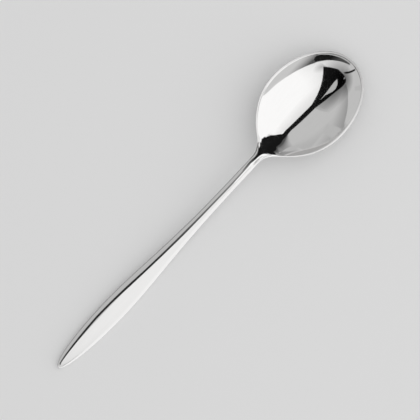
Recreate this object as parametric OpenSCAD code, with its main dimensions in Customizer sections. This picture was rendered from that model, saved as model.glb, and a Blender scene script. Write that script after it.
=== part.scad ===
// Dessert spoon in polished steel: a forged bowl and shank whose tang is cemented into a hollow handle.
// X runs along the spoon towards the tip of the bowl, Y across it and Z up. The spoon lies on its back
// on Z = 0, and the origin is on the table under the middle of its length. All sizes are in millimetres
// and degrees.

/* [Overall] */
// Length from the end of the handle to the tip of the bowl
overall_length = 185; // [170:1:215]

/* [Bowl] */
// Length of the bowl from its heel to its tip
bowl_length = 56; // [48:0.5:64]
// Width of the bowl at its widest place
bowl_width = 40; // [34:0.5:46]
// Depth of the hollow below the rim
bowl_depth = 8.8; // [7:0.1:11]
// Metal in the middle of the bowl
bowl_wall = 1.6; // [1.2:0.1:2.2]
// Width of the flat land on the rim
rim_land = 0.9; // [0.6:0.1:1.4]
// Upright outer edge under the land
rim_edge = 0.35; // [0.2:0.05:0.7]
// Share of its width that the bowl loses towards the heel
heel_pinch = 0.52; // [0.35:0.01:0.6]
// Length of the curve from the side of the neck to the side of the bowl
heel_fillet = 8; // [6:0.5:10]
// Height of the rim at the heel above the rim at the tip
rim_rise = 4.5; // [3:0.1:8]

/* [Neck] */
// Width of the neck at its narrowest place
neck_width = 3.9; // [3.4:0.1:4.6]
// Thickness of the neck
neck_thickness = 4.6; // [4.2:0.1:5.4]
// Length over which the crown of the neck sinks into the bowl
heel_run = 15; // [10:0.5:20]
// Length of the keel that carries the neck on under the bowl
keel_length = 22; // [14:1:28]
// Width of the keel under the bowl
keel_width = 9; // [7:0.5:12]

/* [Handle] */
// Width of the handle at its widest place
handle_width = 10.2; // [9:0.1:13]
// Thickness of the handle at its widest place
handle_thickness = 4.4; // [4:0.1:5.5]
// Distance from the end of the handle to its widest place
end_length = 35; // [26:1:44]
// Length over which the handle narrows to the neck
taper_length = 38; // [32:1:44]
// Sheet that the two handle shells are stamped from
shell_wall = 0.7; // [0.5:0.05:0.9]

/* [Joint] */
// Distance from the end of the handle to its joint with the shank
joint_distance = 84; // [76:1:94]
// Length of the tang inside the handle
tang_length = 24; // [16:1:34]
// Width of the tang at its root
tang_width = 2.4; // [1.8:0.1:2.8]
// Thickness of the tang at its root
tang_thickness = 2; // [1.4:0.1:2.3]
// Size of the tang's end against its root
tang_taper = 0.6; // [0.4:0.05:1]

/* [Hidden] */

// Angles of the side profile at the end of the handle, at the heel and at the tip
end_angle = 1;
heel_angle = 9;
tip_angle = 10;
// Fullness of the bowl's heel and tip against a plain dish
heel_fullness = 0.7;
tip_fullness = 0.3;
// How suddenly the heel narrows, and how flat handle, neck and tang are: 2 is an oval, more is squarer
heel_power = 7;
handle_power = 3;
neck_power = 2.4;
tang_power = 4;
// Share of the handle's thickness above its widest line, and how bluntly its end thins
crown_share = 0.55;
end_bluntness = 0.7;
// Share of the rim's land and edge that stays along the sides of the neck
side_land = 0.04;
// Parts of the heel's fillet and of its run that lie before the heel
fillet_before = 0.55;
run_before = 0.6;
// The bowl's cross ribs fan out from a spine, which ends short of the tip
spine_end = 0.28;

// Stations along the bowl, neck, tang and handle, and steps across a half section. The neck's stations
// crowd to the heel.
bowl_steps = 34;
neck_steps = 18;
neck_crowding = 1.4;
tang_steps = 4;
end_steps = 12;
body_steps = 14;
across = 10;
shell_across = 16;
// Steps for measuring slopes and finding the lowest place
slope_step = 0.01;
probe_step = 0.25;

// Places along the spoon, measured from the end of the handle
heel_at = overall_length - bowl_length;
bowl_mid = overall_length - bowl_length / 2;
fillet_from = heel_at - fillet_before * heel_fillet;
fillet_to = fillet_from + heel_fillet;
run_from = heel_at - run_before * heel_run;
half_bowl = bowl_width / 2;
half_neck = neck_width / 2;
half_handle = handle_width / 2;

// Small curves
function smooth(from, to, u) = let (t = min(1, max(0, (u - from) / (to - from)))) t * t * (3 - 2 * t);
function slope_of(f, u) = (f(u + slope_step) - f(u - slope_step)) / (2 * slope_step);
function hermite(u0, a, slope_a, u1, b, slope_b, u) =
    let (l = u1 - u0, t = (u - u0) / l, s = t * t * (3 - 2 * t))
    a * (1 - s) + b * s + l * t * (1 - t) * (slope_a * (1 - t) - slope_b * t);
function dome(t, power) = pow(max(0, 1 - pow(abs(t), power)), 1 / power);

// How far the handle keeps its full size past its widest place: 1 there and 0 on the neck
function taper(u) = exp(-pow((u - end_length) / taper_length, 2));

// Half width of the outline at a distance u from the end of the handle
function handle_half(u, half = half_handle, end = end_length) =
    u < end_length
        ? half * sqrt(max(0, 1 - pow((end_length - u) / end, 2)))
        : half_neck + (half_handle - half_neck) * taper(u);
function bowl_half(u) =
    let (x = (u - bowl_mid) / (bowl_length / 2))
    half_bowl * sqrt(max(0, 1 - x * x)) * (1 - heel_pinch * pow((1 - x) / 2, heel_power));
side_slope = slope_of(function (u) handle_half(u), fillet_from);
flank_slope = slope_of(function (u) bowl_half(u), fillet_to);
function half_width(u) =
    u <= fillet_from ? handle_half(u)
    : u >= fillet_to ? bowl_half(u)
    : hermite(fillet_from, handle_half(fillet_from), side_slope,
              fillet_to, bowl_half(fillet_to), flank_slope, u);

// Thickness of the handle and neck, above and below the widest line
function thickness(u) =
    u < end_length
        ? handle_thickness * pow(handle_half(u) / half_handle, end_bluntness)
        : neck_thickness + (handle_thickness - neck_thickness) * taper(u);
function crown(u) = crown_share * thickness(u);
function belly(u) = (1 - crown_share) * thickness(u);
// Flatness of the crown and the belly, which get rounder towards the neck
function crown_power(u) = neck_power + (handle_power - neck_power) * taper(max(u, end_length));

// How far a place belongs to the bowl: 0 on the neck and 1 past the heel
function bowlness(u) = smooth(run_from, run_from + heel_run, u);
// Depth of the dished metal under the rim, and the keel under its heel
function hollow(u, y) = (pow(half_width(u), 2) - y * y) / pow(half_bowl, 2);
function dish(u, y) =
    let (x = (u - bowl_mid) / (bowl_length / 2), fullness = x < 0 ? heel_fullness : tip_fullness)
    bowlness(u) * bowl_depth * hollow(u, y) * (1 + fullness * x * x);
function metal(u, y) =
    let (b = bowlness(u))
    rim_edge * max(b, side_land) + b * (bowl_wall - rim_edge) * hollow(u, y);
function keel(u, y) =
    let (b = bowlness(u), half = max(half_width(fillet_from), b * keel_width / 2),
         across_neck = dome(y / half_width(u), crown_power(u)),
         across_bowl = pow(max(0, 1 - pow(y / half, 2)), 2),
         fade = 1 - smooth(fillet_from, fillet_from + keel_length, u))
    belly(u) * fade * (b * across_bowl + (1 - b) * across_neck);

// Height of the widest line. The bowl rests on the table, and so does the handle's belly near its end.
function rim_line(u) =
    hermite(heel_at, rim_rise, tan(heel_angle), overall_length, 0, -tan(tip_angle), u);
lift = max([for (u = [heel_at:probe_step:overall_length])
    dish(u, 0) + metal(u, 0) + keel(u, 0) - rim_line(u)]);
heel_z = rim_line(heel_at) + lift;
function handle_line(u, end_z) = hermite(0, end_z, tan(end_angle), heel_at, heel_z, tan(heel_angle), u);
end_z = max([for (u = [probe_step:probe_step:end_length])
    (belly(u) - handle_line(u, 0)) / (handle_line(u, 1) - handle_line(u, 0))]);
function line_z(u) = u < heel_at ? handle_line(u, end_z) : rim_line(u) + lift;

// A point of the model from its distance along, across and up
function at(u, y, z) = [u - overall_length / 2, y, z];
// Faces of a strip between two rows, split along the diagonal from a to c
function quad(a, b, c, d) = [[a, b, c], [a, c, d]];

// Where the rib that ends at u on the outline starts on the bowl's spine
spine_from = fillet_to;
spine_to = bowl_mid + spine_end * bowl_length / 2;
function spine(u) =
    let (t = max(0, (u - spine_from) / (overall_length - spine_from)),
         pull = (overall_length - spine_from) / (spine_to - spine_from))
    u < spine_from ? u : spine_from + (spine_to - spine_from) * t * (pull + (1 - pull) * t);

// Half a section of the bowl or neck, from the spine over the rim and back underneath
function half_section(u) =
    let (w = half_width(u), v = spine(u), b = max(bowlness(u), side_land),
         inner = 1 - rim_land * b / norm([u - v, w]))
    concat(
        [for (k = [0:across])
            let (t = sin(90 * k / across), uu = v + t * (u - v), y = t * w)
            at(v + inner * (uu - v), inner * y,
               line_z(uu) - dish(uu, y)
                   + (1 - bowlness(uu)) * crown(uu) * dome(t, crown_power(uu)))],
        [at(u, w, line_z(u))],
        [for (k = [across:-1:0])
            let (t = sin(90 * k / across), uu = v + t * (u - v), y = t * w)
            at(uu, y, line_z(uu) - dish(uu, y) - metal(uu, y) - keel(uu, y))]);
function mirrored(points) = [for (p = points) [p[0], -p[1], p[2]]];
function whole_section(half) =
    concat(half, mirrored([for (k = [len(half) - 2:-1:1]) half[k]]));

// Section of the tang, with as many points as asked for, starting at the top and going round by +Y
function tang_section(u, count) =
    let (size = 1 - (1 - tang_taper) * (joint_distance - u) / tang_length,
         z = line_z(u) + (crown(u) - belly(u)) / 2)
    [for (k = [0:count - 1])
        let (c = sin(360 * k / count), s = cos(360 * k / count))
        at(u, size * tang_width / 2 * sign(c) * pow(abs(c), 2 / tang_power),
           z + size * tang_thickness / 2 * sign(s) * pow(abs(s), 2 / tang_power))];

// Bowl, heel, neck, shank and tang in one forging
module bowl_and_shank() {
    turn = acos((fillet_to - bowl_mid) / (bowl_length / 2));
    bowl_at = [for (k = [1:bowl_steps]) bowl_mid + bowl_length / 2 * cos(turn * k / bowl_steps)];
    neck_at = [for (k = [1:neck_steps])
        fillet_to + (joint_distance - fillet_to) * pow(k / neck_steps, neck_crowding)];
    tang_at = [for (k = [0:tang_steps]) joint_distance - tang_length * k / tang_steps];
    tip = half_section(overall_length);
    half = len(tip);
    count = 2 * half - 2;
    rings = concat(
        [for (u = concat(bowl_at, neck_at)) whole_section(half_section(u))],
        [for (u = tang_at) tang_section(u, count)]);
    points = concat(tip, [for (ring = rings) each ring]);
    // The first row is the fold of the tip, where both sides share their points
    function i(row, k) =
        let (j = k % count)
        row == 0 ? min(j, count - j) : half + (row - 1) * count + j;
    sides = [for (row = [0:len(rings) - 1], k = [0:count - 1])
        each quad(i(row, k), i(row + 1, k), i(row + 1, k + 1), i(row, k + 1))];
    end_face = [for (k = [count - 1:-1:0]) i(len(rings), k)];
    color("silver") polyhedron(points, concat(sides, [end_face]));
}

// Stations of the hollow handle: the outer skin's and, at the same numbers, the hollow's
end_turns = [for (k = [1:end_steps]) 90 * k / end_steps];
body_at = [for (k = [1:body_steps]) end_length + (joint_distance - end_length) * k / body_steps];
skin_at = concat([for (a = end_turns) end_length * (1 - cos(a))], body_at);
core_at = concat([for (a = end_turns) end_length - (end_length - shell_wall) * cos(a)], body_at);

// Half width and height of the hollow: the outside less the wall
function core_half(u) =
    u < end_length ? handle_half(u, half_handle - shell_wall, end_length - shell_wall)
    : handle_half(u) - shell_wall;
function core_height(outside, u) =
    u < end_length
        ? (outside - shell_wall) * pow(core_half(u) / (half_handle - shell_wall), end_bluntness)
        : outside - shell_wall;

// A row of points across the handle, from -Y to +Y, over the widest line (side 1) or under it (side -1)
function arch(u, half, height) =
    [for (k = [0:shell_across])
        let (t = -cos(180 * k / shell_across))
        at(u, t * half, line_z(u) + height * dome(t, crown_power(u)))];
function swell(u, side) = side > 0 ? crown(max(u, end_length)) : belly(max(u, end_length));
function skin_row(u, side) = arch(u, handle_half(u), side * (side > 0 ? crown(u) : belly(u)));
function core_row(u, side) = arch(u, core_half(u), side * core_height(swell(u, side), u));

// One stamped half of the handle. Its seam lies on the widest line and its open end meets the shank.
module handle_shell(side) {
    rows = len(skin_at);
    row_points = shell_across + 1;
    points = concat(
        [at(0, 0, line_z(0)), at(shell_wall, 0, line_z(shell_wall))],
        [for (u = skin_at) each skin_row(u, side)],
        [for (u = core_at) each core_row(u, side)]);
    function skin(row, k) = row < 0 ? 0 : 2 + row * row_points + k;
    function core(row, k) = row < 0 ? 1 : 2 + (rows + row) * row_points + k;
    // Both halves are split along the diagonals that the filler uses
    function patch(f, row, k) =
        side > 0 ? quad(f(row, k), f(row, k + 1), f(row + 1, k + 1), f(row + 1, k))
        : quad(f(row, k + 1), f(row, k), f(row + 1, k), f(row + 1, k + 1));
    function turned(faces) = [for (f = faces) [f[2], f[1], f[0]]];
    skin_faces = concat(
        [for (k = [0:shell_across - 1])
            side > 0 ? [0, skin(0, k + 1), skin(0, k)] : [0, skin(0, k), skin(0, k + 1)]],
        [for (row = [0:rows - 2], k = [0:shell_across - 1])
            each patch(function (r, c) skin(r, c), row, k)]);
    core_faces = concat(
        [for (k = [0:shell_across - 1])
            side > 0 ? [1, core(0, k), core(0, k + 1)] : [1, core(0, k + 1), core(0, k)]],
        [for (row = [0:rows - 2], k = [0:shell_across - 1])
            each turned(patch(function (r, c) core(r, c), row, k))]);
    seam_faces = [for (row = [-1:rows - 2], k = [0, shell_across])
        let (strip = quad(skin(row, k), skin(row + 1, k), core(row + 1, k), core(row, k)))
        each ((k == 0) == (side > 0) ? strip : turned(strip))];
    mouth_faces = [for (k = [0:shell_across - 1])
        let (strip = quad(skin(rows - 1, k), skin(rows - 1, k + 1), core(rows - 1, k + 1), core(rows - 1, k)))
        each (side > 0 ? strip : turned(strip))];
    polyhedron(points, concat(skin_faces, core_faces, seam_faces, mouth_faces));
}

// Upper half of the hollow handle
module handle_front_shell() {
    color("silver") handle_shell(1);
}

// Lower half of the hollow handle
module handle_back_shell() {
    color("silver") handle_shell(-1);
}

// Cement that fills the hollow, with the pocket that the tang sits in
module handle_filler() {
    count = 2 * shell_across;
    rings = concat(
        [for (u = core_at)
            let (under = core_row(u, -1))
            concat(core_row(u, 1), [for (k = [shell_across - 1:-1:1]) under[k]])],
        [for (k = [0:tang_steps])
            let (ring = tang_section(joint_distance - tang_length * k / tang_steps, count))
            [for (j = [0:count - 1]) ring[(j + count - shell_across / 2) % count]]]);
    points = concat([at(shell_wall, 0, line_z(shell_wall))], [for (ring = rings) each ring]);
    function i(row, k) = 1 + row * count + k % count;
    tip_faces = [for (k = [0:count - 1]) [0, i(0, k + 1), i(0, k)]];
    sides = [for (row = [0:len(rings) - 2], k = [0:count - 1])
        each quad(i(row, k), i(row, k + 1), i(row + 1, k + 1), i(row + 1, k))];
    pocket_end = [for (k = [0:count - 1]) i(len(rings) - 1, k)];
    color("lightgray") polyhedron(points, concat(tip_faces, sides, [pocket_end]));
}

bowl_and_shank();
handle_front_shell();
handle_back_shell();
handle_filler();
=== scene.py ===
import math

import bmesh
import bpy
from mathutils import Matrix, Vector


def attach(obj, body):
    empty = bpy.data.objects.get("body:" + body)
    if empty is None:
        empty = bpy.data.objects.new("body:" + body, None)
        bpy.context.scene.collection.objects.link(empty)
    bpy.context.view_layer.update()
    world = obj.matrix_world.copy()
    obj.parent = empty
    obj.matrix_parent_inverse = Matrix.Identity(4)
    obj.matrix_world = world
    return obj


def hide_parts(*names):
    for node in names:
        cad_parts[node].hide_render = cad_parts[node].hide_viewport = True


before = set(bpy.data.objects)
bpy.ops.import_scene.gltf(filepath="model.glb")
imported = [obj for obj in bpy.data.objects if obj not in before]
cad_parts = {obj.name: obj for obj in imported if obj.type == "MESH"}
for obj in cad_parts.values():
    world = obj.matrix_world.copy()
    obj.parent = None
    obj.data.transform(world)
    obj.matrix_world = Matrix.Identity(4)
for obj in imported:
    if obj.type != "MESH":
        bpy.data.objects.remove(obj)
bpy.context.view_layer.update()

# Bowl, neck and shank
# One steel forging: the bowl is rolled thin and dished in a die, its rim is ground to a narrow land, and
# the neck runs back as a slim round shank. Behind the shank a flat tang goes into the handle.
MM = 0.001
overall_length = 185
bowl_length = 56
bowl_width = 40
bowl_depth = 8.8
bowl_wall = 1.6
rim_land = 0.9
rim_edge = 0.35
rim_round = 0.3
edge_round = 0.17
heel_pinch = 0.52
heel_fillet = 8
rim_rise = 4.5
neck_width = 3.9
neck_thickness = 4.6
heel_run = 15
keel_length = 22
keel_width = 9
handle_width = 10.2
handle_thickness = 4.4
end_length = 35
taper_length = 38
joint_distance = 84
tang_length = 24
tang_width = 2.4
tang_thickness = 2
tang_taper = 0.6
end_angle = math.radians(1)
heel_angle = math.radians(9)
tip_angle = math.radians(10)
heel_fullness = 0.7
tip_fullness = 0.3
heel_power = 7
handle_power = 3
neck_power = 2.4
tang_power = 4
crown_share = 0.55
end_bluntness = 0.7
side_land = 0.04
fillet_before = 0.55
run_before = 0.6
spine_end = 0.28

# Places along the spoon, measured from the end of the handle
heel_at = overall_length - bowl_length
bowl_mid = overall_length - bowl_length / 2
fillet_from = heel_at - fillet_before * heel_fillet
fillet_to = fillet_from + heel_fillet
run_from = heel_at - run_before * heel_run
spine_to = bowl_mid + spine_end * bowl_length / 2
half_bowl = bowl_width / 2
half_neck = neck_width / 2
half_handle = handle_width / 2


def ease(start, stop, u):
    t = min(1, max(0, (u - start) / (stop - start)))
    return t * t * (3 - 2 * t)


def sweep(u0, a, slope_a, u1, b, slope_b, u):
    """Smooth curve from height a to height b that leaves and arrives at the given slopes."""
    run = u1 - u0
    t = (u - u0) / run
    s = t * t * (3 - 2 * t)
    return a * (1 - s) + b * s + run * t * (1 - t) * (slope_a * (1 - t) - slope_b * t)


def dome(t, power):
    return max(0, 1 - abs(t) ** power) ** (1 / power)


def taper(u):
    return math.exp(-((u - end_length) / taper_length) ** 2)


def handle_half(u, half=half_handle, end=end_length):
    if u < end_length:
        return half * math.sqrt(max(0, 1 - ((end_length - u) / end) ** 2))
    return half_neck + (half_handle - half_neck) * taper(u)


def bowl_half(u):
    x = (u - bowl_mid) / (bowl_length / 2)
    return half_bowl * math.sqrt(max(0, 1 - x * x)) * (1 - heel_pinch * ((1 - x) / 2) ** heel_power)


def slope_of(outline, u, step=0.01):
    return (outline(u + step) - outline(u - step)) / (2 * step)


side_slope = slope_of(handle_half, fillet_from)
flank_slope = slope_of(bowl_half, fillet_to)


def half_width(u):
    if u <= fillet_from:
        return handle_half(u)
    if u >= fillet_to:
        return bowl_half(u)
    return sweep(fillet_from, handle_half(fillet_from), side_slope,
                 fillet_to, bowl_half(fillet_to), flank_slope, u)


def thickness(u):
    if u < end_length:
        return handle_thickness * (handle_half(u) / half_handle) ** end_bluntness
    return neck_thickness + (handle_thickness - neck_thickness) * taper(u)


def crown(u):
    return crown_share * thickness(u)


def belly(u):
    return (1 - crown_share) * thickness(u)


def crown_power(u):
    return neck_power + (handle_power - neck_power) * taper(max(u, end_length))


def bowlness(u):
    return ease(run_from, run_from + heel_run, u)


def hollow(u, y):
    return (half_width(u) ** 2 - y * y) / half_bowl ** 2


def dish(u, y):
    x = (u - bowl_mid) / (bowl_length / 2)
    fullness = heel_fullness if x < 0 else tip_fullness
    return bowlness(u) * bowl_depth * hollow(u, y) * (1 + fullness * x * x)


def metal(u, y):
    b = bowlness(u)
    return rim_edge * max(b, side_land) + b * (bowl_wall - rim_edge) * hollow(u, y)


def keel(u, y):
    b = bowlness(u)
    half = max(half_width(fillet_from), b * keel_width / 2)
    across_bowl = max(0, 1 - (y / half) ** 2) ** 2
    across_neck = dome(y / half_width(u), crown_power(u)) if b < 1 else 0
    fade = 1 - ease(fillet_from, fillet_from + keel_length, u)
    return belly(u) * fade * (b * across_bowl + (1 - b) * across_neck)


def rim_line(u):
    return sweep(heel_at, rim_rise, math.tan(heel_angle), overall_length, 0, -math.tan(tip_angle), u)


def under_rim(u):
    return dish(u, 0) + metal(u, 0) + keel(u, 0) - rim_line(u)


probe_step = 0.25
lift = max(under_rim(heel_at + probe_step * k) for k in range(round(bowl_length / probe_step) + 1))
heel_z = rim_line(heel_at) + lift


def handle_line(u, end_z):
    return sweep(0, end_z, math.tan(end_angle), heel_at, heel_z, math.tan(heel_angle), u)


def end_height(u):
    low = handle_line(u, 0)
    return (belly(u) - low) / (handle_line(u, 1) - low)


end_z = max(end_height(probe_step * k) for k in range(1, round(end_length / probe_step) + 1))


def line_z(u):
    return handle_line(u, end_z) if u < heel_at else rim_line(u) + lift


def spine(u):
    """Where on the bowl's middle line the rib starts that ends at u on the outline."""
    if u < fillet_to:
        return u
    run = overall_length - fillet_to
    reach = spine_to - fillet_to
    t = (u - fillet_to) / run
    pull = run / reach
    return fillet_to + reach * t * (pull + (1 - pull) * t)


def placed(u, y, z):
    return Vector((u - overall_length / 2, y, z)) * MM


def rounded(start, corner, stop, steps):
    """Points of a small round at a corner, after its start and up to its end."""
    points = []
    for k in range(1, steps + 1):
        t = k / steps
        points.append(start * (1 - t) ** 2 + corner * 2 * t * (1 - t) + stop * t * t)
    return points


ribs_in_bowl = 120
ribs_in_neck = 90
points_over = 44
points_round = 5
neck_crowding = 1.4
round_share = 0.4
edge_share = 0.45
halvings = 24


def rib_section(u):
    """Half a cross section, from the middle of the hollow over the rim and back to the keel."""
    w = half_width(u)
    v = spine(u)
    land = rim_land * max(bowlness(u), side_land)
    inner = 1 - land / math.hypot(u - v, w)

    def face(turn):
        t = math.sin(turn)
        uu = v + t * (u - v)
        y = t * w
        b = bowlness(uu)
        z = line_z(uu) - dish(uu, y)
        if b < 1:
            z += (1 - b) * crown(uu) * dome(t, crown_power(uu))
        return placed(v + inner * (uu - v), inner * y, z)

    def back(turn):
        t = math.sin(turn)
        uu = v + t * (u - v)
        y = t * w
        return placed(uu, y, line_z(uu) - dish(uu, y) - metal(uu, y) - keel(uu, y))

    def turn_before(side, corner, gap):
        low, high = 0, math.pi / 2
        for _ in range(halvings):
            middle = (low + high) / 2
            if (side(middle) - corner).length > gap:
                low = middle
            else:
                high = middle
        return low

    inner_edge = face(math.pi / 2)
    outer_top = placed(u, w, line_z(u))
    outer_low = back(math.pi / 2)
    soft = min(rim_round * MM, round_share * land * MM)
    crisp = min(edge_round * MM, edge_share * (outer_top - outer_low).length)
    face_end = turn_before(face, inner_edge, soft)
    back_end = turn_before(back, outer_low, crisp)
    outwards = (outer_top - inner_edge).normalized()
    down = (outer_low - outer_top).normalized()
    points = [face(face_end * k / points_over) for k in range(points_over + 1)]
    points += rounded(points[-1], inner_edge, inner_edge + outwards * soft, points_round)
    points.append(outer_top - outwards * crisp)
    points += rounded(points[-1], outer_top, outer_top + down * crisp, points_round)
    points.append(outer_low - down * crisp)
    points += rounded(points[-1], outer_low, back(back_end), points_round)
    points += [back(back_end * k / points_over) for k in range(points_over - 1, -1, -1)]
    return points


def rib_station(k):
    """Distance along of the outline point of rib k, from the joint to the tip."""
    if k < ribs_in_neck:
        return fillet_to + (joint_distance - fillet_to) * (1 - k / ribs_in_neck) ** neck_crowding
    turn = math.acos((fillet_to - bowl_mid) / (bowl_length / 2))
    k = ribs_in_neck + ribs_in_bowl - k
    return bowl_mid + bowl_length / 2 * math.cos(turn * k / ribs_in_bowl)


sections = [rib_section(rib_station(k)) for k in range(ribs_in_neck + ribs_in_bowl + 1)]
last_rib = len(sections) - 1
last_point = len(sections[0]) - 1

# The blank is a flat grid of ribs and points, pressed into half of the spoon and mirrored
weld_distance = 1e-7
forging = bmesh.new()
bmesh.ops.create_grid(forging, x_segments=last_rib, y_segments=last_point, size=1)
for v in forging.verts:
    rib = round((v.co.x + 1) / 2 * last_rib)
    point = round((v.co.y + 1) / 2 * last_point)
    v.co = sections[rib][point]
bmesh.ops.mirror(forging, geom=forging.verts[:] + forging.edges[:] + forging.faces[:],
                 axis="Y", merge_dist=weld_distance)
bmesh.ops.remove_doubles(forging, verts=forging.verts, dist=weld_distance)

tang_steps = 4


def tang_middle(u):
    return line_z(u) + (crown(u) - belly(u)) / 2


def tang_point(angle, u):
    """Point of the tang's rounded flat section at a distance u along, in the direction of an angle."""
    size = 1 - (1 - tang_taper) * (joint_distance - u) / tang_length
    across = abs(math.cos(angle)) / (size * tang_width / 2)
    upright = abs(math.sin(angle)) / (size * tang_thickness / 2)
    reach = (across ** tang_power + upright ** tang_power) ** (-1 / tang_power)
    return placed(u, reach * math.cos(angle), tang_middle(u) + reach * math.sin(angle))


# The tang is drawn out of the shank's end in steps, and its end is closed
ring = [e for e in forging.edges if e.is_boundary]
before = joint_distance
for step in range(tang_steps + 1):
    grown = bmesh.ops.extrude_edge_only(forging, edges=ring)["geom"]
    ring = [g for g in grown if isinstance(g, bmesh.types.BMEdge)]
    u = joint_distance - tang_length * step / tang_steps
    for v in grown:
        if isinstance(v, bmesh.types.BMVert):
            v.co = tang_point(math.atan2(v.co.z - tang_middle(before) * MM, v.co.y), u)
    before = u
bmesh.ops.edgeloop_fill(forging, edges=ring)


def finished(name, shape, crease=math.radians(40)):
    """Turns a shape into a smooth object whose creases stay sharp."""
    bmesh.ops.recalc_face_normals(shape, faces=shape.faces)
    for face in shape.faces:
        face.smooth = True
    for edge in shape.edges:
        edge.smooth = edge.calc_face_angle(0) < crease
    mesh = bpy.data.meshes.new(name)
    shape.to_mesh(mesh)
    shape.free()
    piece = bpy.data.objects.new(name, mesh)
    bpy.context.scene.collection.objects.link(piece)
    return piece


streak_size = (60, 900, 900)
streak_relief = 5e-7
hairline_size = (110, 4000, 4000)
hairline_turn = math.radians(14)
hairline_roughness = 0.05
buffed_roughness = 0.03
streaked_roughness = 0.06
worn_roughness = 0.06
steel_dark = (0.775, 0.77, 0.765, 1)
steel_light = (0.805, 0.8, 0.795, 1)


def ramp(nodes, low, high, at_low, at_high):
    """Node that turns values from low to high into values from at_low to at_high."""
    node = nodes.new("ShaderNodeMapRange")
    node.inputs["From Min"].default_value = low
    node.inputs["From Max"].default_value = high
    node.inputs["To Min"].default_value = at_low
    node.inputs["To Max"].default_value = at_high
    return node


def drawn_noise(tree, place, size, turn, detail):
    """Noise drawn out along the piece, finer across it than along it."""
    drawn = tree.nodes.new("ShaderNodeMapping")
    drawn.inputs["Rotation"].default_value = (0, 0, turn)
    drawn.inputs["Scale"].default_value = size
    tree.links.new(place.outputs["Object"], drawn.inputs["Vector"])
    noise = tree.nodes.new("ShaderNodeTexNoise")
    noise.inputs["Scale"].default_value = 1
    noise.inputs["Detail"].default_value = detail
    tree.links.new(drawn.outputs["Vector"], noise.inputs["Vector"])
    return noise


def blend(tree, dark, light, pattern):
    """Node that goes from a dark to a light colour with a pattern."""
    tone = tree.nodes.new("ShaderNodeMix")
    tone.data_type = "RGBA"
    tone.inputs["A"].default_value = dark
    tone.inputs["B"].default_value = light
    tree.links.new(pattern.outputs["Fac"], tone.inputs["Factor"])
    return tone


def polished_steel(name):
    """Mirror polish with faint streaks from the buffing wheel, hairline scratches and duller edges."""
    steel = bpy.data.materials.new(name)
    steel.use_nodes = True
    tree = steel.node_tree
    nodes = tree.nodes
    links = tree.links
    shader = nodes["Principled BSDF"]
    shader.inputs["Metallic"].default_value = 1
    place = nodes.new("ShaderNodeTexCoord")
    streaks = drawn_noise(tree, place, streak_size, turn=0, detail=4)
    gloss = ramp(nodes, low=0.3, high=0.75, at_low=buffed_roughness, at_high=streaked_roughness)
    links.new(streaks.outputs["Fac"], gloss.inputs["Value"])
    hairlines = drawn_noise(tree, place, hairline_size, hairline_turn, detail=2)
    scratches = ramp(nodes, low=0.66, high=0.72, at_low=0, at_high=hairline_roughness)
    links.new(hairlines.outputs["Fac"], scratches.inputs["Value"])
    shape = nodes.new("ShaderNodeNewGeometry")
    worn_edges = ramp(nodes, low=0.53, high=0.65, at_low=0, at_high=worn_roughness)
    links.new(shape.outputs["Pointiness"], worn_edges.inputs["Value"])
    wear = nodes.new("ShaderNodeMath")
    links.new(scratches.outputs["Result"], wear.inputs[0])
    links.new(worn_edges.outputs["Result"], wear.inputs[1])
    dull = nodes.new("ShaderNodeMath")
    links.new(gloss.outputs["Result"], dull.inputs[0])
    links.new(wear.outputs["Value"], dull.inputs[1])
    links.new(dull.outputs["Value"], shader.inputs["Roughness"])
    relief = nodes.new("ShaderNodeBump")
    relief.inputs["Distance"].default_value = streak_relief
    links.new(streaks.outputs["Fac"], relief.inputs["Height"])
    links.new(relief.outputs["Normal"], shader.inputs["Normal"])
    tone = blend(tree, steel_dark, steel_light, streaks)
    links.new(tone.outputs["Result"], shader.inputs["Base Color"])
    return steel


steel = polished_steel("polished_steel")
bowl_and_shank = finished("bowl_and_shank_forging", forging)
bowl_and_shank.data.materials.append(steel)
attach(bowl_and_shank, "root")
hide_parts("bowl_and_shank")

# Handle shells
# Two halves stamped from steel sheet, crowned outside and hollow inside. They are welded along the widest
# line and brazed to the shank, and both joints are ground and polished until they vanish.
shell_wall = 0.7
rows_at_end = 48
rows_in_body = 60
points_across = 64
end_row = -0.9999


def core_half(u):
    if u < end_length:
        return handle_half(u, half_handle - shell_wall, end_length - shell_wall)
    return handle_half(u) - shell_wall


def core_height(swell, u):
    widest = max(u, end_length)
    height = swell(widest) - shell_wall
    if u < end_length:
        height *= (core_half(u) / (half_handle - shell_wall)) ** end_bluntness
    return height


def shell_station(k, end):
    """Distance along of row k, from the handle's end to its mouth."""
    if k < rows_at_end:
        return end_length - (end_length - end) * math.cos(math.pi / 2 * k / rows_at_end)
    return end_length + (joint_distance - end_length) * (k - rows_at_end) / rows_in_body


def handle_shell(name, swell, side):
    rows = rows_at_end + rows_in_body
    sheet = bmesh.new()
    bmesh.ops.create_grid(sheet, x_segments=rows, y_segments=points_across, size=1)
    grown = bmesh.ops.extrude_face_region(sheet, geom=sheet.faces[:])["geom"]
    for v in grown:
        if isinstance(v, bmesh.types.BMVert):
            v.co.z = 1
    pole = [f for f in sheet.faces if all(v.co.x < end_row for v in f.verts)]
    bmesh.ops.delete(sheet, geom=pole, context="FACES")
    for v in sheet.verts:
        row = round((v.co.x + 1) / 2 * rows)
        t = -math.cos(math.pi * (v.co.y + 1) / 2)
        inside = v.co.z > 0.5
        u = shell_station(row, shell_wall if inside else 0)
        half = core_half(u) if inside else handle_half(u)
        height = core_height(swell, u) if inside else swell(u)
        v.co = placed(u, t * half, line_z(u) + side * height * dome(t, crown_power(u)))
    bmesh.ops.remove_doubles(sheet, verts=sheet.verts, dist=weld_distance)
    shell = finished(name, sheet)
    shell.data.materials.append(steel)
    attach(shell, "root")
    return shell


front_shell = handle_shell("handle_front", crown, 1)
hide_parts("handle_front_shell")
back_shell = handle_shell("handle_back", belly, -1)
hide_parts("handle_back_shell")

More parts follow.
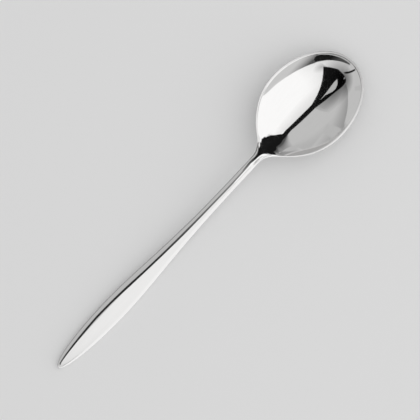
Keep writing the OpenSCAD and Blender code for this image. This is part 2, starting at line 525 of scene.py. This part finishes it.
# Filler
# Hard cement cast into the hollow handle round the tang. It holds the tang, gives the handle its weight
# and is sealed in, so it keeps its plain solid.
grain_scale = 900
grain_relief = 0.0002
cement_roughness = 0.9
cement_dark = (0.5, 0.48, 0.44, 1)
cement_light = (0.7, 0.68, 0.64, 1)


def cast_cement(name):
    cement = bpy.data.materials.new(name)
    cement.use_nodes = True
    tree = cement.node_tree
    nodes = tree.nodes
    links = tree.links
    shader = nodes["Principled BSDF"]
    shader.inputs["Roughness"].default_value = cement_roughness
    place = nodes.new("ShaderNodeTexCoord")
    grain = nodes.new("ShaderNodeTexNoise")
    grain.inputs["Scale"].default_value = grain_scale
    grain.inputs["Detail"].default_value = 6
    links.new(place.outputs["Object"], grain.inputs["Vector"])
    tone = blend(tree, cement_dark, cement_light, grain)
    links.new(tone.outputs["Result"], shader.inputs["Base Color"])
    rough = nodes.new("ShaderNodeBump")
    rough.inputs["Distance"].default_value = grain_relief
    links.new(grain.outputs["Fac"], rough.inputs["Height"])
    links.new(rough.outputs["Normal"], shader.inputs["Normal"])
    return cement


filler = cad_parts["handle_filler"]
filler.data.materials.clear()
filler.data.materials.append(cast_cement("handle_cement"))

# Table
# A plain pale table top with a matt face. The spoon lies loose on it, on the bottom of its bowl and the
# belly of its handle, and the table isn't part of the spoon.
table_half = 2
table_tone = (0.78, 0.78, 0.78, 1)
table_roughness = 0.8
table_shape = bmesh.new()
bmesh.ops.create_grid(table_shape, x_segments=1, y_segments=1, size=table_half)
table = finished("table", table_shape)
pale = bpy.data.materials.new("pale_table")
pale.use_nodes = True
paint = pale.node_tree.nodes["Principled BSDF"]
paint.inputs["Base Color"].default_value = table_tone
paint.inputs["Roughness"].default_value = table_roughness
paint.inputs["Specular IOR Level"].default_value = 0
table.data.materials.append(pale)

# Lights
# A pale room, one wide softbox over the right side of the spoon, and cards that only the polish shows.
# Dark cards give the mirror its black shapes, as the gaps of a light tent do.
room_level = 0.64
world = bpy.data.worlds.new("studio")
bpy.context.scene.world = world
world.use_nodes = True
sky = world.node_tree.nodes["Background"]
sky.inputs["Color"].default_value = (1, 1, 1, 1)
sky.inputs["Strength"].default_value = room_level


def out_of_shot(piece, cloth, lights_table=False):
    """Covers a sheet with cloth and keeps it from the lens, and from the table unless it is a lamp."""
    piece.data.materials.append(cloth)
    piece.visible_camera = False
    piece.visible_shadow = lights_table
    piece.visible_diffuse = lights_table


def card(name, corners, cloth, lights_table=False):
    """A flat sheet that the lens doesn't see, with its corners in millimetres."""
    sheet = bmesh.new()
    sheet.faces.new([sheet.verts.new(Vector(corner) * MM) for corner in corners])
    out_of_shot(finished(name, sheet), cloth, lights_table)


def level_card(name, height, corners, cloth, lights_table=False):
    card(name, [(x, y, height) for x, y in corners], cloth, lights_table)


def side_card(name, y, corners, cloth):
    card(name, [(x, y, z) for x, z in corners], cloth)


def even_cloth(name, level):
    cloth = bpy.data.materials.new(name)
    cloth.use_nodes = True
    nodes = cloth.node_tree.nodes
    nodes.clear()
    lamp = nodes.new("ShaderNodeEmission")
    lamp.inputs["Strength"].default_value = level
    out = nodes.new("ShaderNodeOutputMaterial")
    cloth.node_tree.links.new(lamp.outputs["Emission"], out.inputs["Surface"])
    return cloth


def shaded_cloth(name, direction, dim, dim_at, bright, bright_at):
    """Cloth that gets brighter along a direction, between two places in millimetres."""
    cloth = even_cloth(name, bright)
    nodes = cloth.node_tree.nodes
    links = cloth.node_tree.links
    place = nodes.new("ShaderNodeTexCoord")
    along = nodes.new("ShaderNodeVectorMath")
    along.operation = "DOT_PRODUCT"
    along.inputs[1].default_value = Vector(direction).normalized()
    links.new(place.outputs["Object"], along.inputs[0])
    fade = ramp(nodes, dim_at * MM, bright_at * MM, dim, bright)
    links.new(along.outputs["Value"], fade.inputs["Value"])
    links.new(fade.outputs["Result"], nodes["Emission"].inputs["Strength"])
    return cloth


softbox_level = 1.2
softbox_height = 1500
softbox_side = 8000
softbox_back = -12000
softbox_front = 400
level_card("softbox", softbox_height, [
    (-softbox_side, softbox_back), (softbox_side, softbox_back),
    (softbox_side, softbox_front), (-softbox_side, softbox_front)],
    shaded_cloth("softbox_cloth", (1, 0, 0), dim=0.5, dim_at=-2200, bright=softbox_level, bright_at=300),
    lights_table=True)

# Black cards, from the bowl to the handle
gap_height = 90
low_gap_height = 20
handle_gap_height = 30
far_gap_height = 1000
black_cloth = even_cloth("black_cloth", level=0.01)
level_card("gap_over_bowl", gap_height, [
    (25, 30), (25, -10), (43, -62), (65, -28), (84, 1), (91, 12), (124, 14.6), (138, 18.5), (157, -3),
    (179, -40), (206, -60), (320, -66), (320, 172), (220, 103), (160, 50), (116, 30.5), (92, 28.5), (84, 36),
    (48, 56), (34, 57), (28, 48)], black_cloth)
level_card("gap_over_heel", low_gap_height, [
    (33, 1.2), (36, 0.6), (44, 1.2), (47, 0.6), (60, -2.8), (61.5, -2), (62.5, -0.5), (62.5, 13), (46, 3.2),
    (43, 2.8), (40.5, 3.4), (38.5, 5), (34, 5.2), (33, 4)], black_cloth)
level_card("gap_over_neck", low_gap_height, [(22, 4), (33, 1.6), (33.5, 4), (34, 14), (28, 13)],
           even_cloth("dark_cloth", level=0.1))
level_card("gap_over_tip", gap_height, [
    (20, 18), (10, 26), (-5, 40), (-20, 50), (-60, 74), (-60, 86), (-20, 62.5), (-5, 51), (10, 37.5),
    (17, 29)], black_cloth)
level_card("gap_over_handle", handle_gap_height, [
    (-110, 3.5), (-85, 8.5), (-70, 11.5), (-60, 10.5), (-48, 7.6), (0, 0), (12, -3), (31, 3), (31, 9),
    (12, 5.5), (-14, 11.2), (-39, 12.4), (-70, 21), (-110, 9.5)],
    shaded_cloth("handle_gap_cloth", (-1, 0, 0), dim=0.25, dim_at=-20, bright=0.03, bright_at=32))
level_card("far_gap", far_gap_height, [
    (-120, -1750), (-500, -1310), (-745, -1005), (-1075, -400), (-1450, 300), (-1565, 300), (-1405, -600),
    (-1245, -1300), (-1005, -1950), (-800, -2150), (-550, -1850), (-120, -1900)],
    shaded_cloth("far_gap_cloth", (0, -1, 0), dim=0.08, dim_at=500, bright=0.01, bright_at=1000))

# White and grey cards round the neck and the handle
heel_card_height = 14
under_handle_height = 0.05
over_handle_height = handle_gap_height + 0.5
handle_wall_top = 45
handle_wall_end = -130
handle_wall_side = -60
white_cloth = even_cloth("white_cloth", level=softbox_level)
wall_cloth = even_cloth("wall_cloth", level=1.1)
level_card("white_over_heel", handle_gap_height, [
    (14, -12), (47, -12), (46, 1.2), (40, -0.5), (36, -1.2), (33, 0.5), (30, 2.4), (21, -1.2), (14, -3.8)],
    white_cloth)
level_card("white_beside_heel", heel_card_height, [
    (37.5, 3), (39, 2.6), (41, 2.9), (43, 2.75), (46.5, 2), (47, 6), (50, 11), (50, 16), (42, 12), (37, 6)],
    even_cloth("soft_white_cloth", level=0.95))
side_card("white_beside_handle", handle_wall_side, [
    (handle_wall_end, 0), (32, 0), (32, handle_wall_top), (handle_wall_end, handle_wall_top)], wall_cloth)
level_card("white_under_handle", under_handle_height, [
    (handle_wall_end, handle_wall_side), (34, handle_wall_side), (34, 0), (handle_wall_end, 0)], wall_cloth)
level_card("grey_under_handle", under_handle_height, [
    (handle_wall_end, 0), (34, 0), (34, 60), (handle_wall_end, 60)], even_cloth("under_cloth", level=0.35))
level_card("grey_over_handle", over_handle_height, [
    (-300, 4), (-120, 4), (-98, 9), (-70, 16), (-48, 11), (-14, 7), (12, 1.5), (24, 3), (24, 400),
    (-300, 400)], even_cloth("strip_cloth", level=0.6))
card("grey_beyond_handle", [
    (handle_wall_end, handle_wall_side, 0), (handle_wall_end, 20, 0),
    (handle_wall_end, 20, handle_wall_top), (handle_wall_end, handle_wall_side, handle_wall_top)],
    even_cloth("end_cloth", level=0.8))

# Grey cards round the bowl
gleam_height = gap_height - 1
tip_fold_side = 300
level_card("gleam_over_bowl", gleam_height, [
    (49, 14), (57, 13), (65, 14), (80, 19), (86, 20.5), (80, 22), (71, 33), (65, 35), (57, 30), (51, 20)],
    even_cloth("gleam_cloth", level=0.54))
level_card("spark_over_bowl", gleam_height, [(28, 35), (33, 34), (35, 39), (30, 41)],
           even_cloth("spark_cloth", level=0.3))
side_card("fold_over_tip", tip_fold_side, [
    (106, 0), (99, 38), (25, 166), (-60, 285), (-130, 400), (-20, 400), (228, 0)],
    shaded_cloth("tip_fold_cloth", (0.85, 0, 0.527), dim=0.39, dim_at=108, bright=0.61, bright_at=182))


def fan_cloth(name, centre, dim, dim_angle, bright, bright_angle):
    """Cloth that gets brighter round a centre in millimetres, between two angles in degrees."""
    cloth = even_cloth(name, bright)
    nodes = cloth.node_tree.nodes
    links = cloth.node_tree.links
    place = nodes.new("ShaderNodeTexCoord")
    from_centre = nodes.new("ShaderNodeVectorMath")
    from_centre.operation = "SUBTRACT"
    from_centre.inputs[1].default_value = Vector((*centre, 0)) * MM
    links.new(place.outputs["Object"], from_centre.inputs[0])
    turn = nodes.new("ShaderNodeTexGradient")
    turn.gradient_type = "RADIAL"
    links.new(from_centre.outputs["Vector"], turn.inputs["Vector"])
    fade = ramp(nodes, 0.5 + dim_angle / 360, 0.5 + bright_angle / 360, dim, bright)
    links.new(turn.outputs["Fac"], fade.inputs["Value"])
    links.new(fade.outputs["Result"], nodes["Emission"].inputs["Strength"])
    return cloth


heel_fold_height = gap_height + 0.5
far_wall_side = 3000
far_wall_top = 1700
low_card_side = -100
level_card("fold_over_heel", heel_fold_height, [
    (128, 33), (142, 40), (160, 46), (180, 62), (220, 99), (262, 132), (320, 170), (1500, 1300), (2000, 1790),
    (2000, 3030)],
    fan_cloth("heel_fold_cloth", (125, 30), dim=0.1, dim_angle=40, bright=room_level, bright_angle=57))
side_card("far_wall", far_wall_side, [(300, 0), (9000, 0), (9000, far_wall_top), (300, far_wall_top)],
          shaded_cloth("far_wall_cloth", (0, 0, 1), dim=0.555, dim_at=600, bright=room_level,
                       bright_at=far_wall_top))
card("white_beyond_heel", [(453, -211, 0), (272, -419, 0), (272, -419, 180), (453, -211, 180)], white_cloth)
card("room_over_rim", [(72.3, 15.5, 10.5), (71.5, 20.5, 10.5), (71.5, 20.5, 18), (72.3, 15.5, 18)],
     even_cloth("room_cloth", level=0.58))
side_card("low_card", low_card_side, [
    (20, 0), (124, 0), (120, 33), (112, 42), (96, 54.5), (88, 60), (64, 73.5), (48, 82.5), (42, 85), (44, 66),
    (34, 62), (20, 58)],
    shaded_cloth("low_cloth", (0.32, 0, -0.95), dim=0.1, dim_at=-51, bright=0.71, bright_at=-25))

# A narrow white strip just over the rim, as wide as the rim's land
strip_gap = 0.8
rim_inner = points_over
rim_outer = points_over + 2 * points_round + 1
raised = Vector((0, 0, strip_gap)) * MM
strip = bmesh.new()
for side in (1, -1):
    edge = None
    for rib in sections[ribs_in_neck:]:
        ends = []
        for p in (rib[rim_inner], rib[rim_outer]):
            ends.append(strip.verts.new(Vector((p.x, side * p.y, p.z)) + raised))
        if edge:
            strip.faces.new((edge[0], edge[1], ends[1], ends[0]))
        edge = ends
rim_cloth = shaded_cloth("rim_cloth", (-1, 0, 0), dim=0.6, dim_at=-92, bright=1, bright_at=-70)
out_of_shot(finished("white_over_rim", strip), rim_cloth)


def soft_veil(name, height, centre, reach, depth, corners):
    """A gauze that darkens what is behind it, most at its centre and not at all at its reach."""
    gauze = bpy.data.materials.new(name)
    gauze.use_nodes = True
    nodes = gauze.node_tree.nodes
    links = gauze.node_tree.links
    nodes.clear()
    place = nodes.new("ShaderNodeTexCoord")
    round_middle = nodes.new("ShaderNodeMapping")
    round_middle.vector_type = "TEXTURE"
    round_middle.inputs["Location"].default_value = Vector((*centre, height)) * MM
    round_middle.inputs["Scale"].default_value = Vector((*reach, 1)) * MM
    links.new(place.outputs["Object"], round_middle.inputs["Vector"])
    blob = nodes.new("ShaderNodeTexGradient")
    blob.gradient_type = "SPHERICAL"
    links.new(round_middle.outputs["Vector"], blob.inputs["Vector"])
    clear = ramp(nodes, low=0, high=1, at_low=1, at_high=1 - depth)
    links.new(blob.outputs["Fac"], clear.inputs["Value"])
    thin = nodes.new("ShaderNodeBsdfTransparent")
    links.new(clear.outputs["Result"], thin.inputs["Color"])
    out = nodes.new("ShaderNodeOutputMaterial")
    links.new(thin.outputs["BSDF"], out.inputs["Surface"])
    level_card(name, height, corners, gauze)


# The gauzes hang just under the black cards, a little apart
veil_height = gap_height - 0.5
slit_veil_height = veil_height + 0.1
over_slit_height = veil_height + 0.2
wedge_veil_height = veil_height + 0.3
shade_centre = (42, 30)
shade_reach = (66, 100)
soft_veil("shade_over_bowl", veil_height, shade_centre, shade_reach, depth=0.95, corners=[
    (-20, -100), (30, -100), (43, -62), (62, -26), (76, -6), (86, 10), (100, 20), (92, 26), (92, 130),
    (-20, 130)])
soft_veil("thin_shade_over_bowl", veil_height, shade_centre, shade_reach, depth=0.25, corners=[
    (30, -100), (122, -100), (122, 22), (100, 20), (86, 10), (76, -6), (62, -26), (43, -62)])
soft_veil("shade_under_slit", slit_veil_height, centre=(74, 44), reach=(26, 42), depth=0.36, corners=[
    (48, 27), (90, 21), (90, 90), (48, 90)])
soft_veil("shade_at_wedge_tip", wedge_veil_height, centre=(46, -66), reach=(20, 26), depth=0.4, corners=[
    (34, -92), (66, -92), (66, -40), (40, -40)])
soft_veil("thin_shade_over_slit", over_slit_height, centre=(110, 14), reach=(80, 40), depth=0.22, corners=[
    (60, -26), (180, -26), (180, 14), (60, 14)])

# Camera
# A long lens high over the spoon, leaning a little to its right side. The spoon slants across the frame,
# and its middle stands a little off the frame's middle.
lean = math.radians(-7.57)
slant = math.radians(45.95)
distance = 1.0
pixels_per_metre = 2301.0
frame_pixels = 420
middle_column = 204.45
middle_row = 213.97
middle_height = 6
sensor_width = 36
towards = Vector((0, math.sin(lean), math.cos(lean)))
lengthways = Vector((1, 0, 0))
crossways = towards.cross(lengthways)
right = lengthways * math.cos(slant) - crossways * math.sin(slant)
up = lengthways * math.sin(slant) + crossways * math.cos(slant)
off_right = (frame_pixels / 2 - middle_column) / pixels_per_metre
off_up = (frame_pixels / 2 - middle_row) / pixels_per_metre
aim = Vector((0, 0, middle_height)) * MM + right * off_right - up * off_up
lens = bpy.data.cameras.new("camera")
lens.sensor_width = sensor_width
lens.lens = sensor_width * distance * pixels_per_metre / frame_pixels
camera = bpy.data.objects.new("camera", lens)
camera.matrix_world = Matrix.Translation(aim + towards * distance) @ Matrix(
    (right, up, towards)).transposed().to_4x4()
bpy.context.scene.collection.objects.link(camera)
bpy.context.scene.camera = camera
bpy.context.scene.view_settings.view_transform = "Standard"
